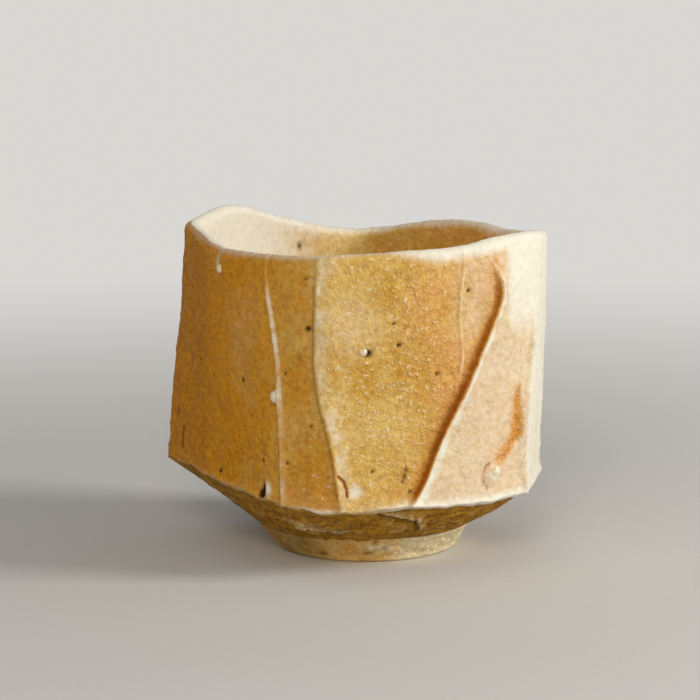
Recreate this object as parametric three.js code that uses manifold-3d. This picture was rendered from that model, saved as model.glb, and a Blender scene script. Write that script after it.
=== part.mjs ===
// A small hand-formed sake cup of coarse stoneware.
// The bowl was thrown thick, and its outside was then cut with a knife into flat faces, which left raised
// burrs and ledges where the cuts meet. A foot ring made by itself is luted under the bowl, a yellow ash
// glaze covers the bowl inside and out as far down as its waist, and a few feldspar grains of the clay have
// burst through the glaze.
// Millimetres and degrees, +Z up. Azimuth 0 is the front, towards -Y, and azimuth 90 the right, towards +X.
import * as THREE from "three";
import { ParametricGeometry } from "three/addons/geometries/ParametricGeometry.js";
import { mergeVertices } from "three/addons/utils/BufferGeometryUtils.js";
import Module from "manifold-3d";

const wasm = await Module();
wasm.setup();

// Heights above the table
const FOOT_HEIGHT = 4.4;
const WAIST_HEIGHT = 12.4;
const RIM_HEIGHT = 53.4;

// Plan of the bowl at its waist: between opposite flat faces, and between opposite corners
const ACROSS_FACES = 52;
const ACROSS_CORNERS = 65;
const CORNER_SOFTNESS = 1.0;

// Clay thicknesses, and the round between the wall and the floor inside
const WALL_AT_WAIST = 5.2;
const WALL_AT_RIM = 2.0;
const FLOOR_THICKNESS = 5;
const INNER_ROUND = 9;

// Foot ring: radii outside at the bowl and at the table, the ring's width, its worn edges, how far its base
// sits to the right, and how much its outline wanders
const FOOT_SEAT_RADIUS = 18;
const FOOT_BASE_RADIUS = 15.6;
const FOOT_RING_WIDTH = 4.8;
const FOOT_EDGE_ROUND = 0.9;
const FOOT_SHIFT = 0.6;
const FOOT_WANDER = 0.25;
const FOOT_WANDER_WAVES = 3;

// Glaze, and the hair's breadth by which its underneath clears the clay
const GLAZE_THICKNESS = 0.4;
const GLAZE_CLEARANCE = 0.05;

// Shape of the knife's marks: half width of a burr, reach of the groove beside it, and how far a ledge runs
const BURR_HALF_WIDTH = 0.8;
const GROOVE_OFFSET = 1.4;
const LEDGE_RUN = 7;
const MARK_FADE = 0.12;

// The mouth keeps some of the round that it was thrown with: its radius, and how far the plan goes towards it
const MOUTH_RADIUS = 29.5;
const MOUTH_ROUNDNESS = 0.35;

// The underside swells a little between the foot and the waist
const UNDERSIDE_SWELL = 0.6;

// The knife turns up a thin lip along the waist, which dies away up the wall
const WAIST_LIP = 0.5;
const WAIST_LIP_RUN = 2.2;

// In the fire the clay shrinks away from a feldspar grain and leaves a crack round it, this wide
const GRAIN_CRACK = 0.3;
const GRAIN_FLATNESS = 0.8;

// Mesh density: columns between two neighbouring marks, and rows along each stretch of the profile
const COLUMNS_PER_CUT = 8;
const COLUMN_CROWDING = 0.75;
const ROWS = { seat: 1, underside: 3, wall: 10, lip: 4, inside: 4, round: 3, floor: 1 };
const FOOT_EDGE_ROWS = 2;
const GRAIN_SIDES = 10;
const GRAIN_ROWS = 6;

// The faces that the knife cut: the way each one looks, how far it stands out past its nominal place in the
// plan, and how far it leans inward on its way up. A corner face takes off the corner between two flat ones.
const FACES = [
  { looks: -61, proud: -0.6, lean: 3 },
  { looks: -36, proud: -3.0, lean: 3.5, corner: true },
  { looks: 24, proud: 0.1, lean: 3.5 },
  { looks: 50, proud: 1.9, lean: 0 },
  { looks: 79, proud: -4.1, lean: -3.7, corner: true },
  { looks: 137, proud: -1.0, lean: 1.5 },
  { looks: 178, proud: 0.5, lean: 4.5, corner: true },
  { looks: -145, proud: 1.2, lean: 2 },
  { looks: -105, proud: 3.7, lean: 1, corner: true },
];

// The marks where cuts meet, in order round the cup: a line from the waist to the rim, given as azimuths at
// shares of the wall's height, the height of its burr, the depth of the groove on its left, and the ledge by
// which its right side stands proud. A mark dies away below the share of the height given as its start, if it
// has one, and above the share given as its end.
const MARKS = [
  { line: [[0, -25.5], [0.25, -27.3], [0.5, -28.8], [1, -36.3]], burr: 0.6, groove: 0.1, ledge: 0, end: 1 },
  { line: [[0, -6.5], [0.23, -9], [0.5, -13.8], [1, -14.6]], burr: 0.15, groove: 0.1, ledge: 0.6, end: 1 },
  { line: [[0, 5], [0.5, 35.8], [0.8, 36.2], [1, 38.2]], burr: 0.25, groove: 0, ledge: 0, start: 0.5, end: 1 },
  { line: [[0, 16.5], [0.1, 22.3], [0.27, 29.2], [0.6, 44.5], [0.83, 53.5], [1, 48]], burr: 0.4, groove: 0.35,
    ledge: 0.75, end: 0.9 },
  { line: [[0, 67], [0.2, 64], [0.5, 68.8], [1, 73]], burr: 0.5, groove: 0.3, ledge: 0.2, end: 0.75 },
  { line: [[0, 118], [0.5, 126], [1, 124]], burr: 0.4, groove: 0.3, ledge: 0.5, end: 1 },
  { line: [[0, 168], [0.5, 172], [1, 178]], burr: 0.4, groove: 0.1, ledge: 0, end: 0.9 },
  { line: [[0, 222], [0.5, 214], [1, 212]], burr: 0.4, groove: 0.3, ledge: 0.6, end: 1 },
  { line: [[0, 262], [0.5, 262], [1, 264]], burr: 0.1, groove: 0.1, ledge: 0, end: 0.8 },
];

// The waves of the rim and of the waist: rise above or below the nominal height at an azimuth
const RIM_WAVE = [
  [-122, 2.7], [-102, 0.3], [-78, -1.4], [-40, -1.3], [0, -0.3], [42, 0.2],
  [62, 1.2], [82, 0.8], [108, -0.8], [131, -0.2], [155, -1.1], [180, -3.0], [212, -0.2],
];
const WAIST_WAVE = [[-104, 1.0], [-15, -0.4], [65, -1.3], [90, -0.7], [180, 0.3]];

// Feldspar grains: azimuth, share of the wall's height, size across, and the share that stands out of the glaze
const GRAINS = [
  { name: "feldspar_grain_ridge", azimuth: -29, share: 0.45, across: 2.4, proud: 0.3 },
  { name: "feldspar_grain_waist", azimuth: 50.5, share: 0.115, across: 2.2, proud: 0.35 },
  { name: "feldspar_grain_front", azimuth: -0.2, share: 0.64, across: 1.4, proud: 0.2 },
  { name: "feldspar_grain_left", azimuth: -66, share: 0.95, across: 2, proud: 0.25 },
];

const { degToRad, lerp, clamp, smoothstep, euclideanModulo } = THREE.MathUtils;
const TURN = 360;
const MERGE_DISTANCE = 1e-4;

// Plan of the bowl

// A smooth closed wave through its listed azimuths
function closedWave(points) {
  const last = points.at(-1);
  const first = points[0];
  const ring = [[last[0] - TURN, last[1]], ...points, [first[0] + TURN, first[1]]];
  const curve = new THREE.CubicInterpolant(ring.map((p) => p[0]), ring.map((p) => p[1]), 1);
  return (azimuth) => curve.evaluate(first[0] + euclideanModulo(azimuth - first[0], TURN))[0];
}

const rimRise = closedWave(RIM_WAVE);
const waistRise = closedWave(WAIST_WAVE);
const waistHeight = (azimuth) => WAIST_HEIGHT + waistRise(azimuth);
const shoulderHeight = (azimuth) => RIM_HEIGHT + rimRise(azimuth) - WALL_AT_RIM / 2;

// Distance from the axis to the faces' common outline: the nearest face counts, and corners are softened
function cutRadius(azimuth, height) {
  const distances = FACES.map(({ looks, proud, lean, corner }) => {
    const across = corner ? ACROSS_CORNERS : ACROSS_FACES;
    const reach = across / 2 + proud - (height - WAIST_HEIGHT) * Math.tan(degToRad(lean));
    const cosine = Math.cos(degToRad(azimuth - looks));
    return cosine > 0 ? reach / cosine : Infinity;
  });
  const nearest = Math.min(...distances);
  const crowd = distances.reduce((sum, d) => sum + Math.exp((nearest - d) / CORNER_SOFTNESS), 0);
  const cut = nearest - CORNER_SOFTNESS * Math.log(crowd);
  return lerp(cut, MOUTH_RADIUS, MOUTH_ROUNDNESS * smoothstep(height, WAIST_HEIGHT, RIM_HEIGHT));
}

// Azimuth of a mark at a share of the wall's height
const markCurves = MARKS.map(({ line }) => {
  return new THREE.CubicInterpolant(line.map((p) => p[0]), line.map((p) => p[1]), 1);
});
const markAzimuth = (mark, share) => markCurves[mark].evaluate(share)[0];

// How far the marks raise or lower the wall at a place
function markRelief(azimuth, share, radius) {
  return MARKS.reduce((relief, { burr, groove, ledge, start, end }, mark) => {
    const away = azimuth - markAzimuth(mark, share);
    const turn = euclideanModulo(away + TURN / 2, TURN) - TURN / 2;
    const along = degToRad(turn) * radius;
    const begun = start ? smoothstep(share, start - MARK_FADE, start + MARK_FADE) : 1;
    const ended = end < 1 ? smoothstep(share, end - MARK_FADE, end + MARK_FADE) : 0;
    const strength = begun * (1 - ended);
    const crest = burr * Math.exp(-((along / BURR_HALF_WIDTH) ** 2));
    const trough = groove * Math.exp(-(((along + GROOVE_OFFSET) / BURR_HALF_WIDTH) ** 2));
    const rise = smoothstep(along, -BURR_HALF_WIDTH, 0) * ledge * Math.exp(-Math.max(along, 0) / LEDGE_RUN);
    return relief + strength * (crest - trough + rise);
  }, 0);
}

// Clay wall: outside with the knife's marks, inside plain
function outerRadius(azimuth, height) {
  const low = waistHeight(azimuth);
  const share = clamp((height - low) / (shoulderHeight(azimuth) - low), 0, 1);
  const radius = cutRadius(azimuth, height);
  const lip = WAIST_LIP * Math.exp(-Math.max(height - low, 0) / WAIST_LIP_RUN);
  return radius + markRelief(azimuth, share, radius) + lip;
}

function innerRadius(azimuth, height) {
  const share = (height - WAIST_HEIGHT) / (RIM_HEIGHT - WAIST_HEIGHT);
  return cutRadius(azimuth, height) - lerp(WALL_AT_WAIST, WALL_AT_RIM, clamp(share, 0, 1));
}

// Columns of the mesh run along the marks and crowd up to them, so that each burr has its own columns
const COLUMNS = MARKS.length * COLUMNS_PER_CUT;

function columnAzimuth(turn, share) {
  const place = turn * MARKS.length;
  const mark = Math.floor(place) % MARKS.length;
  const next = (mark + 1) % MARKS.length;
  const between = place - Math.floor(place);
  const eased = between - (COLUMN_CROWDING * Math.sin(2 * Math.PI * between)) / (2 * Math.PI);
  const from = markAzimuth(mark, share);
  const to = markAzimuth(next, share) + (next === 0 ? TURN : 0);
  return lerp(from, to, eased);
}

const onCircle = (target, azimuth, radius, height) => {
  const angle = degToRad(azimuth);
  return target.set(radius * Math.sin(angle), -radius * Math.cos(angle), height);
};

// Stretches of the profile, each a function of the column, the share along the stretch and the coat of glaze
// that lies on the clay there

const FLOOR_HEIGHT = FOOT_HEIGHT + FLOOR_THICKNESS;
const stretches = {
  seat(turn, share, coat, target) {
    return onCircle(target, columnAzimuth(turn, 0), FOOT_SEAT_RADIUS * share, FOOT_HEIGHT);
  },
  underside(turn, share, coat, target) {
    const azimuth = columnAzimuth(turn, 0);
    const height = waistHeight(azimuth);
    const swell = UNDERSIDE_SWELL * Math.sin(Math.PI * share);
    const radius = lerp(FOOT_SEAT_RADIUS, outerRadius(azimuth, height), share) + swell;
    return onCircle(target, azimuth, radius, lerp(FOOT_HEIGHT, height, share));
  },
  wall(turn, share, coat, target) {
    const azimuth = columnAzimuth(turn, share);
    const height = lerp(waistHeight(azimuth), shoulderHeight(azimuth), share);
    return onCircle(target, azimuth, outerRadius(azimuth, height) + coat, height);
  },
  lip(turn, share, coat, target) {
    const azimuth = columnAzimuth(turn, 1);
    const height = shoulderHeight(azimuth);
    const outside = outerRadius(azimuth, height);
    const inside = innerRadius(azimuth, height);
    const angle = Math.PI * share;
    const half = (outside - inside) / 2 + coat;
    const radius = (outside + inside) / 2 + half * Math.cos(angle);
    return onCircle(target, azimuth, radius, height + (WALL_AT_RIM / 2 + coat) * Math.sin(angle));
  },
  inside(turn, share, coat, target) {
    const azimuth = columnAzimuth(turn, 1);
    const height = lerp(shoulderHeight(azimuth), FLOOR_HEIGHT + INNER_ROUND, share);
    return onCircle(target, azimuth, innerRadius(azimuth, height) - coat, height);
  },
  round(turn, share, coat, target) {
    const azimuth = columnAzimuth(turn, 1);
    const height = FLOOR_HEIGHT + INNER_ROUND;
    const angle = (Math.PI / 2) * share;
    const reach = INNER_ROUND - coat;
    const centre = innerRadius(azimuth, height) - INNER_ROUND;
    return onCircle(target, azimuth, centre + reach * Math.cos(angle), height - reach * Math.sin(angle));
  },
  floor(turn, share, coat, target) {
    const azimuth = columnAzimuth(turn, 1);
    const edge = innerRadius(azimuth, FLOOR_HEIGHT + INNER_ROUND) - INNER_ROUND;
    return onCircle(target, azimuth, edge * (1 - share), FLOOR_HEIGHT + coat);
  },
};

// Rows of a profile: each row is a stretch, a share along it and a coat. Neighbouring stretches share a row.
function rowsOf(names, coat) {
  return names.flatMap((name, stretch) => {
    const count = ROWS[name];
    const first = stretch === 0 ? 0 : 1;
    const length = count + 1 - first;
    return Array.from({ length }, (_, row) => ({ name, share: (row + first) / count, coat }));
  });
}

// A closed skin through the rows, turned once round the axis
function loft(rows) {
  const skin = (turn, along, target) => {
    const { name, share, coat } = rows[Math.round(along * (rows.length - 1))];
    return stretches[name](turn % 1, share, coat, target);
  };
  return new ParametricGeometry(skin, COLUMNS, rows.length - 1);
}

// Solids

function solidOf(geometry) {
  const bare = new THREE.BufferGeometry();
  bare.setAttribute("position", geometry.getAttribute("position"));
  bare.setIndex(geometry.getIndex());
  const merged = mergeVertices(bare, MERGE_DISTANCE);
  const vertProperties = new Float32Array(merged.getAttribute("position").array);
  const triVerts = new Uint32Array(merged.getIndex().array);
  return new wasm.Manifold(new wasm.Mesh({ numProp: 3, vertProperties, triVerts }));
}

function geometryOf(solid) {
  const { vertProperties, triVerts } = solid.getMesh();
  const geometry = new THREE.BufferGeometry();
  geometry.setAttribute("position", new THREE.BufferAttribute(vertProperties, 3));
  geometry.setIndex(new THREE.BufferAttribute(triVerts, 1));
  geometry.computeVertexNormals();
  return geometry;
}

const COATED = ["wall", "lip", "inside", "round", "floor"];

function bowlSolid() {
  return solidOf(loft(rowsOf(["seat", "underside", ...COATED], 0)));
}

// The coat's underneath follows the clay's surface row for row. Its rows run from the glazed floor over the rim
// to the waist and back, which turns the skin inside out, so the faces are flipped.
function glazeSolid() {
  const face = rowsOf(COATED, GLAZE_CLEARANCE + GLAZE_THICKNESS).reverse();
  const geometry = loft([...face, ...rowsOf(COATED, GLAZE_CLEARANCE)]);
  geometry.getIndex().array.reverse();
  return solidOf(geometry);
}

// The foot ring leans in towards the table. Its edges there are worn round, and its outline wanders a little.
function footSolid() {
  const baseInside = FOOT_BASE_RADIUS - FOOT_RING_WIDTH;
  const wornEdge = (centre, side) => Array.from({ length: FOOT_EDGE_ROWS + 1 }, (_, row) => {
    const angle = ((Math.PI / 2) * row) / FOOT_EDGE_ROWS;
    const radius = centre + side * FOOT_EDGE_ROUND * Math.sin(angle);
    return { radius, height: FOOT_EDGE_ROUND * (1 - Math.cos(angle)) };
  });
  const profile = [
    ...wornEdge(FOOT_BASE_RADIUS - FOOT_EDGE_ROUND, 1),
    { radius: FOOT_SEAT_RADIUS, height: FOOT_HEIGHT },
    { radius: FOOT_SEAT_RADIUS - FOOT_RING_WIDTH, height: FOOT_HEIGHT },
    ...wornEdge(baseInside + FOOT_EDGE_ROUND, -1).reverse(),
  ];
  const wander = (angle) => FOOT_SHIFT * Math.sin(angle) + FOOT_WANDER * Math.cos(FOOT_WANDER_WAVES * angle);
  const skin = (turn, along, target) => {
    const { radius, height } = profile[Math.round(along * profile.length) % profile.length];
    const azimuth = columnAzimuth(turn % 1, 0);
    const loose = 1 - height / FOOT_HEIGHT;
    return onCircle(target, azimuth, radius + loose * wander(degToRad(azimuth)), height);
  };
  return solidOf(new ParametricGeometry(skin, COLUMNS, profile.length));
}

// A grain is a flattened pebble, lying along the wall
function grainSolid({ azimuth, share, across, proud }, room) {
  const half = across / 2 + room;
  const pebble = new THREE.SphereGeometry(half, GRAIN_SIDES, GRAIN_ROWS);
  pebble.scale(1, GRAIN_FLATNESS, GRAIN_FLATNESS);
  pebble.rotateZ(degToRad(azimuth));
  const height = lerp(waistHeight(azimuth), shoulderHeight(azimuth), share);
  const glazed = outerRadius(azimuth, height) + GLAZE_CLEARANCE + GLAZE_THICKNESS;
  const sunk = across * GRAIN_FLATNESS * (1 / 2 - proud);
  pebble.translate(...onCircle(new THREE.Vector3(), azimuth, glazed - sunk, height));
  return solidOf(pebble);
}

// Materials by the look of the fired piece
const bareClay = new THREE.MeshStandardMaterial({ color: "#7d5a2a", roughness: 0.95, metalness: 0 });
const footClay = new THREE.MeshStandardMaterial({ color: "#b28a48", roughness: 0.95, metalness: 0 });
const ashGlaze = new THREE.MeshStandardMaterial({ color: "#d2a455", roughness: 0.7, metalness: 0 });
const feldspar = new THREE.MeshStandardMaterial({ color: "#efe6d2", roughness: 0.5, metalness: 0 });

const pockets = GRAINS.map((grain) => grainSolid(grain, GRAIN_CRACK));
const withPockets = (solid) => pockets.reduce((left, pocket) => left.subtract(pocket), solid);

const cup = new THREE.Group();
cup.name = "sake_cup";

function add(name, solid, material) {
  const mesh = new THREE.Mesh(geometryOf(solid), material);
  mesh.name = name;
  cup.add(mesh);
}

add("clay_bowl", withPockets(bowlSolid()), bareClay);
add("foot_ring", footSolid(), footClay);
add("glaze_coat", withPockets(glazeSolid()), ashGlaze);
GRAINS.forEach((grain) => add(grain.name, grainSolid(grain, 0), feldspar));

// The cup stands on the table with the middle of its outline over the origin
const box = new THREE.Box3().setFromObject(cup);
const middle = box.getCenter(new THREE.Vector3());
cup.position.set(-middle.x, -middle.y, -box.min.z);

export default cup;
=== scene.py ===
# %% [markdown]
# # A hand-cut sake cup
# The cup was thrown thick on a wheel, cut into flat faces with a knife, set on a low foot ring and dipped in
# a yellow ash glaze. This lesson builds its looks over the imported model: a ring of points is thrown as a tube,
# laid along the cup's profile, cut by the same flat faces as the solid, and then given the small marks that
# a solid model leaves out. The frame is loaded first, because every piece takes its place from it.

# %% Load the frame
import math
import random
from collections import namedtuple
from functools import reduce
from types import SimpleNamespace

import bmesh
import bpy
import numpy as np
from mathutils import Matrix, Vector, kdtree, noise


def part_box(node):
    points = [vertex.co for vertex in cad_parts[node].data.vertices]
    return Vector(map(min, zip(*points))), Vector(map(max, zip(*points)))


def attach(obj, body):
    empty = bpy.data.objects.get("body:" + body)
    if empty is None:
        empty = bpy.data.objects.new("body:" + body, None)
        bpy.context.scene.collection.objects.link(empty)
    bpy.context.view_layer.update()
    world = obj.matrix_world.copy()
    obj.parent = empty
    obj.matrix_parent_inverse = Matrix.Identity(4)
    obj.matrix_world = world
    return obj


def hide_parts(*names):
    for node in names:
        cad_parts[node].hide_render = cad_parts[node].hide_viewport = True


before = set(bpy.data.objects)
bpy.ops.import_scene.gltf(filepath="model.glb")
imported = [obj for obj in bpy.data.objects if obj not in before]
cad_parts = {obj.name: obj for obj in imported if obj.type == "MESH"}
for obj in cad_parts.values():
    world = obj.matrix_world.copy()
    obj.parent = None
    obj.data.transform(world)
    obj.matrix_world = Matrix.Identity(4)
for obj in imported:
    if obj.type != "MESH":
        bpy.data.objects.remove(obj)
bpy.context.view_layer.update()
MM = 0.001
AXIS = np.mean(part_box("foot_ring"), axis=0)[:2] / MM
print("nodes:", sorted(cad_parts), "wheel axis in mm:", AXIS.round(2))

# %% [markdown]
# ## Camera
# The photograph looks a little down on the cup from about 60 cm with a long lens. A camera is set before the
# shapes, so that each later step can be judged in the same view. Pointing it with `to_track_quat` keeps its
# horizon level.

# %% Camera
CAMERA_AWAY, CAMERA_HEIGHT, AIM_HEIGHT = 600, 128.6, 33.5  # mm from the wheel's axis and above the table
CAMERA_SHIFT = -2.2  # mm to the left, so that the cup stands a little right of the middle
link = bpy.context.scene.collection.objects.link
camera = bpy.data.objects.new("camera", bpy.data.cameras.new("camera"))
link(camera)
camera.location = Vector((AXIS[0] + CAMERA_SHIFT, AXIS[1] - CAMERA_AWAY, CAMERA_HEIGHT)) * MM
aim = Vector((AXIS[0] + CAMERA_SHIFT, AXIS[1], AIM_HEIGHT)) * MM
camera.rotation_euler = (aim - camera.location).to_track_quat("-Z", "Y").to_euler()
camera.data.lens, camera.data.sensor_width, camera.data.clip_start = 183.6, 36, 0.05
bpy.context.scene.camera = camera
print("camera at", [round(v, 4) for v in camera.location])

# %% [markdown]
# ## Soft lines
# A hand's line has no hard starts. These functions ease from 0 to 1, ease in and out again, make a bell, and run
# a curve through a few points. They take whole numpy arrays, which is far quicker than a loop over points.

# %% Soft lines


def smooth(value, low, high):
    t = np.clip((value - low) / (high - low), 0, 1)
    return t * t * (3 - 2 * t)


def window(value, start, full, fade, end):
    return smooth(value, start, full) * (1 - smooth(value, fade, end))


def bell(distance, width):
    return np.exp(-((distance / width) ** 2))


def most(*masks):
    """The strongest of several masks at every point."""
    return reduce(np.maximum, masks)


def curve(points, at):
    """A smooth curve through a few points, whose slope at each one comes from its neighbours."""
    x, y = (np.array(column, float) for column in zip(*points))
    slope = np.gradient(y, x)
    k = np.clip(np.searchsorted(x, at, side="right") - 1, 0, len(x) - 2)
    step = x[k + 1] - x[k]
    t = np.clip((at - x[k]) / step, 0, 1)
    bend = slope[k] * step * (t - 2 * t**2 + t**3) + slope[k + 1] * step * (t**3 - t**2)
    return y[k] * (1 - 3 * t**2 + 2 * t**3) + y[k + 1] * (3 * t**2 - 2 * t**3) + bend


def turn_from(azimuth, line):
    """Degrees from a line to an azimuth, the short way round."""
    return (azimuth - line + 180) % 360 - 180


def closed_wave(points, azimuth):
    ring = [(a + turn, v) for turn in (-360, 0, 360) for a, v in points]
    return curve(ring, turn_from(np.asarray(azimuth), 0))


print("an ease at a quarter:", smooth(0.25, 0, 1), "a bell at its width:", bell(1, 1).round(2))

# %% [markdown]
# ## The knife's plan
# The bowl's outline is a rounded square with its corners cut off. Each flat face has a direction, a distance
# from the wheel's axis and a lean. At any place the nearest face wins, and a soft minimum rounds the corners
# as a wet finger does. The numbers are those of the solid, so the visible skin stays on it. Lengths are in
# millimetres, and azimuths in degrees, from 0 at the front to 90 at the right.

# %% Plan of the cup
FOOT_HEIGHT, WAIST_HEIGHT, RIM_HEIGHT = 4.4, 12.4, 53.4
WALL_AT_WAIST, WALL_AT_RIM, FLOOR_HEIGHT, INNER_ROUND = 5.2, 2.0, 9.4, 9.0
FOOT_SEAT_RADIUS, FOOT_BASE_RADIUS, FOOT_RING_WIDTH, FOOT_EDGE_ROUND = 18.0, 15.6, 4.8, 0.9
MOUTH_RADIUS, MOUTH_ROUNDING = 29.5, 0.35  # the rim goes this share of the way to a round mouth
GLAZE = 0.45  # the glaze with its clearance
FACES = [  # direction, distance from the axis at the waist, lean inward on the way up
    (-61, 25.4, 3), (-36, 29.5, 3.5), (24, 26.1, 3.5), (50, 27.9, 0), (79, 28.4, -3.7),
    (137, 25.0, 1.5), (178, 33.0, 4.5), (-145, 27.2, 2), (-105, 36.2, 1),
]
GRAZING, FAR = 0.05, 1e3  # a face at a smaller cosine than this doesn't cut, so it is set far away
RIM_WAVE = [(-122, 2.7), (-102, 0.3), (-78, -1.4), (-40, -1.3), (0, -0.3), (42, 0.2), (62, 1.2), (82, 0.8),
            (108, -0.8), (131, -0.2), (155, -1.1), (180, -3.0), (212, -0.2)]
WAIST_WAVE = [(-104, 1.0), (-15, -0.4), (65, -1.3), (90, -0.7), (180, 0.3)]


def waist_height(azimuth):
    return WAIST_HEIGHT + closed_wave(WAIST_WAVE, azimuth)


def shoulder_height(azimuth):
    return RIM_HEIGHT + closed_wave(RIM_WAVE, azimuth) - WALL_AT_RIM / 2


def cut_radius(azimuth, height):
    reaches = []
    for looks, reach, lean in FACES:
        cosine = np.cos(np.radians(azimuth - looks))
        distance = reach - (height - WAIST_HEIGHT) * math.tan(math.radians(lean))
        reaches.append(np.where(cosine > GRAZING, distance / np.maximum(cosine, GRAZING), FAR))
    nearest = np.min(reaches, axis=0)
    cut = nearest - np.log(sum(np.exp(nearest - reach) for reach in reaches))
    return cut + (MOUTH_RADIUS - cut) * MOUTH_ROUNDING * smooth(height, WAIST_HEIGHT, RIM_HEIGHT)


def inner_radius(azimuth, height):
    share = np.clip((height - WAIST_HEIGHT) / (RIM_HEIGHT - WAIST_HEIGHT), 0, 1)
    return cut_radius(azimuth, height) - (WALL_AT_WAIST + (WALL_AT_RIM - WALL_AT_WAIST) * share)


print("plan radii at the waist:", cut_radius(np.array([-105, -7, 90, 178]), WAIST_HEIGHT).round(1))

# %% [markdown]
# ## The knife's marks
# Where two cuts meet, the knife leaves a thin burr, and often a ledge with a shadowed groove on its left. A
# mark is a line of azimuths from the waist to the rim. The columns of the mesh follow these lines and crowd
# up to them, so that an edge of the mesh lies on each ridge and the ridge stays crisp without a huge mesh.

# %% Knife marks: lines and columns
Mark = namedtuple("Mark", "line burr half_width groove ledge start end stain paleness columns")
# The number before the paleness darkens a mark's groove, partly for pooled glaze and partly as painted shadow; the
# paleness lightens its crest, partly for glaze run thin and partly as a painted highlight.
MARKS = {  # a line is (share of the wall, azimuth); the last number counts the mesh columns after the mark
    "ridge": Mark([(0, -25.5), (0.25, -27.3), (0.5, -28.8), (1, -36.3)],
                  0.75, 0.34, 0.25, 0.2, None, 0.95, 0.0, 0.72, 24),
    "step": Mark([(0, -6.5), (0.23, -9), (0.5, -13.8), (1, -14.6)], 0.15, 0.8, 0.3, 0.75, None, 0.97, 0.5, 0.2, 60),
    "thread": Mark([(0, 5), (0.5, 35.8), (0.8, 36.2), (1, 38.2)], 0.28, 0.32, 0, 0, 0.5, 1.02, 0.0, 0.7, 40),
    "ledge": Mark([(0, 16.5), (0.1, 22.3), (0.27, 29.2), (0.6, 44.5), (0.83, 53.5), (1, 48)],
                  0.25, 0.65, 0.3, 0.5, None, 0.9, 1.0, 1.0, 56),
    "corner": Mark([(0, 67), (0.2, 64), (0.5, 68.8), (1, 73)], 0.5, 0.4, 0.1, 0.2, None, 0.75, 0.0, 1.0, 76),
    "right": Mark([(0, 118), (0.5, 126), (1, 124)], 0.5, 0.6, 0.4, 0.5, None, 0.9, 0.4, 0.6, 48),
    "back": Mark([(0, 168), (0.5, 172), (1, 178)], 0.45, 0.5, 0.15, 0.0, None, 0.85, 0.0, 0.5, 52),
    "back_left": Mark([(0, 222), (0.5, 214), (1, 212)], 0.5, 0.6, 0.5, 0.6, None, 0.9, 0.6, 0.6, 42),
    "left": Mark([(0, 262), (0.5, 262), (1, 264)], 0.15, 0.8, 0.15, 0.0, None, 0.8, 0.0, 0.1, 96),
}
CROWDING = 0.55
SPANS = np.array([mark.columns for mark in MARKS.values()])
COLUMNS = int(SPANS.sum())


def column_azimuth(turn, share):
    """Azimuth of a mesh column: columns lie between two neighbouring marks and crowd towards them."""
    lines = [curve(mark.line, share) for mark in MARKS.values()]
    stack = np.array(lines + [lines[0] + 360])
    starts = np.concatenate([[0], np.cumsum(SPANS)[:-1]])
    column = turn * COLUMNS
    first = np.searchsorted(starts, column + 1e-6, side="right") - 1
    between = (column - starts[first]) / SPANS[first]
    eased = between - CROWDING * np.sin(2 * np.pi * between) / (2 * np.pi)
    every = np.arange(len(turn))
    return stack[first, every] * (1 - eased) + stack[first + 1, every] * eased


print("marks:", len(MARKS), "columns:", COLUMNS)

# %% [markdown]
# Across a mark, a bell makes the burr, a lopsided bell the groove on its left, and an edge that dies away to the
# right the ledge. The same distance gives two masks: the crest is pale where glaze runs off it and as a painted
# highlight, and the groove is dark where glaze gathers in it and as a painted shadow left of the ledge or step.

# %% Knife marks: relief
GROOVE_OFFSET, GROOVE_LEFT, GROOVE_RIGHT = 0.8, 1.8, 0.5  # mm from the crest, and its run to either side
LEDGE_RUN, PALE_SHIFT, POOL_SHADOW_START, POOL_SHADOW_RUN = 7.0, 0.25, 0.45, 1.2  # mm
MARK_FADE = 0.1


def mark_relief(azimuth, share, radius):
    """Height of the marks over the flat cut, and the masks of their crests and grooves."""
    relief, crests, grooves = np.zeros((3, len(radius)))
    for mark in MARKS.values():
        along = np.radians(turn_from(azimuth, curve(mark.line, share))) * radius
        strength = 1 - smooth(share, mark.end - MARK_FADE, mark.end + MARK_FADE)
        if mark.start:
            strength = strength * smooth(share, mark.start - MARK_FADE, mark.start + MARK_FADE)
        wide = mark.half_width * (1.8 - 1.1 * share)  # a burr thins out on its way up
        left = along + GROOVE_OFFSET
        trough = bell(left, np.where(left < 0, GROOVE_LEFT, GROOVE_RIGHT))
        rise = smooth(along, -1.0, 0.1) * np.exp(-np.maximum(along, 0) / LEDGE_RUN)
        relief += strength * (mark.burr * bell(along, wide) - mark.groove * trough + mark.ledge * rise)
        # The crest's band is pale where the glaze runs thin, and partly a painted highlight where light catches it.
        band = np.where(along < PALE_SHIFT, PALE_SHIFT, wide * (1 + 1.6 * mark.ledge))
        runoff_and_highlight = np.exp(-np.abs((along - PALE_SHIFT) / band) ** 2.5)
        crests = most(crests, strength * mark.paleness * runoff_and_highlight)
        # The groove's band is dark partly for pooled glaze and partly as a painted shadow left of the ledge or step.
        pooled_and_shaded = np.exp(np.minimum(along + POOL_SHADOW_START, 0) / POOL_SHADOW_RUN) * smooth(-along, -0.05, 0.4)
        pooled_and_shaded = pooled_and_shaded * (1 - 0.3 * share) * smooth(share, 0.0, 0.07)
        grooves = most(grooves, strength * mark.stain * pooled_and_shaded)
    return relief, crests, grooves


print("ledge over the waist in mm:", mark_relief(*np.array([[16.5], [0.0], [28.0]]))[0].round(2))

# %% [markdown]
# ## Throwing
# Every round piece here starts as a straight wire that is spun into a tube: one ring for each row of the
# profile. `spin` needs `use_merge` to close the last step onto the first. Each ring is then laid along the
# profile by a function of its row and its turn, which is the same order as at the wheel: throw, then shape.
# A finished piece carries its painted masks, and its doubles are merged before its normals are recalculated.

# %% Throw a tube and finish a piece
MERGE = 1e-7  # m


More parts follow.
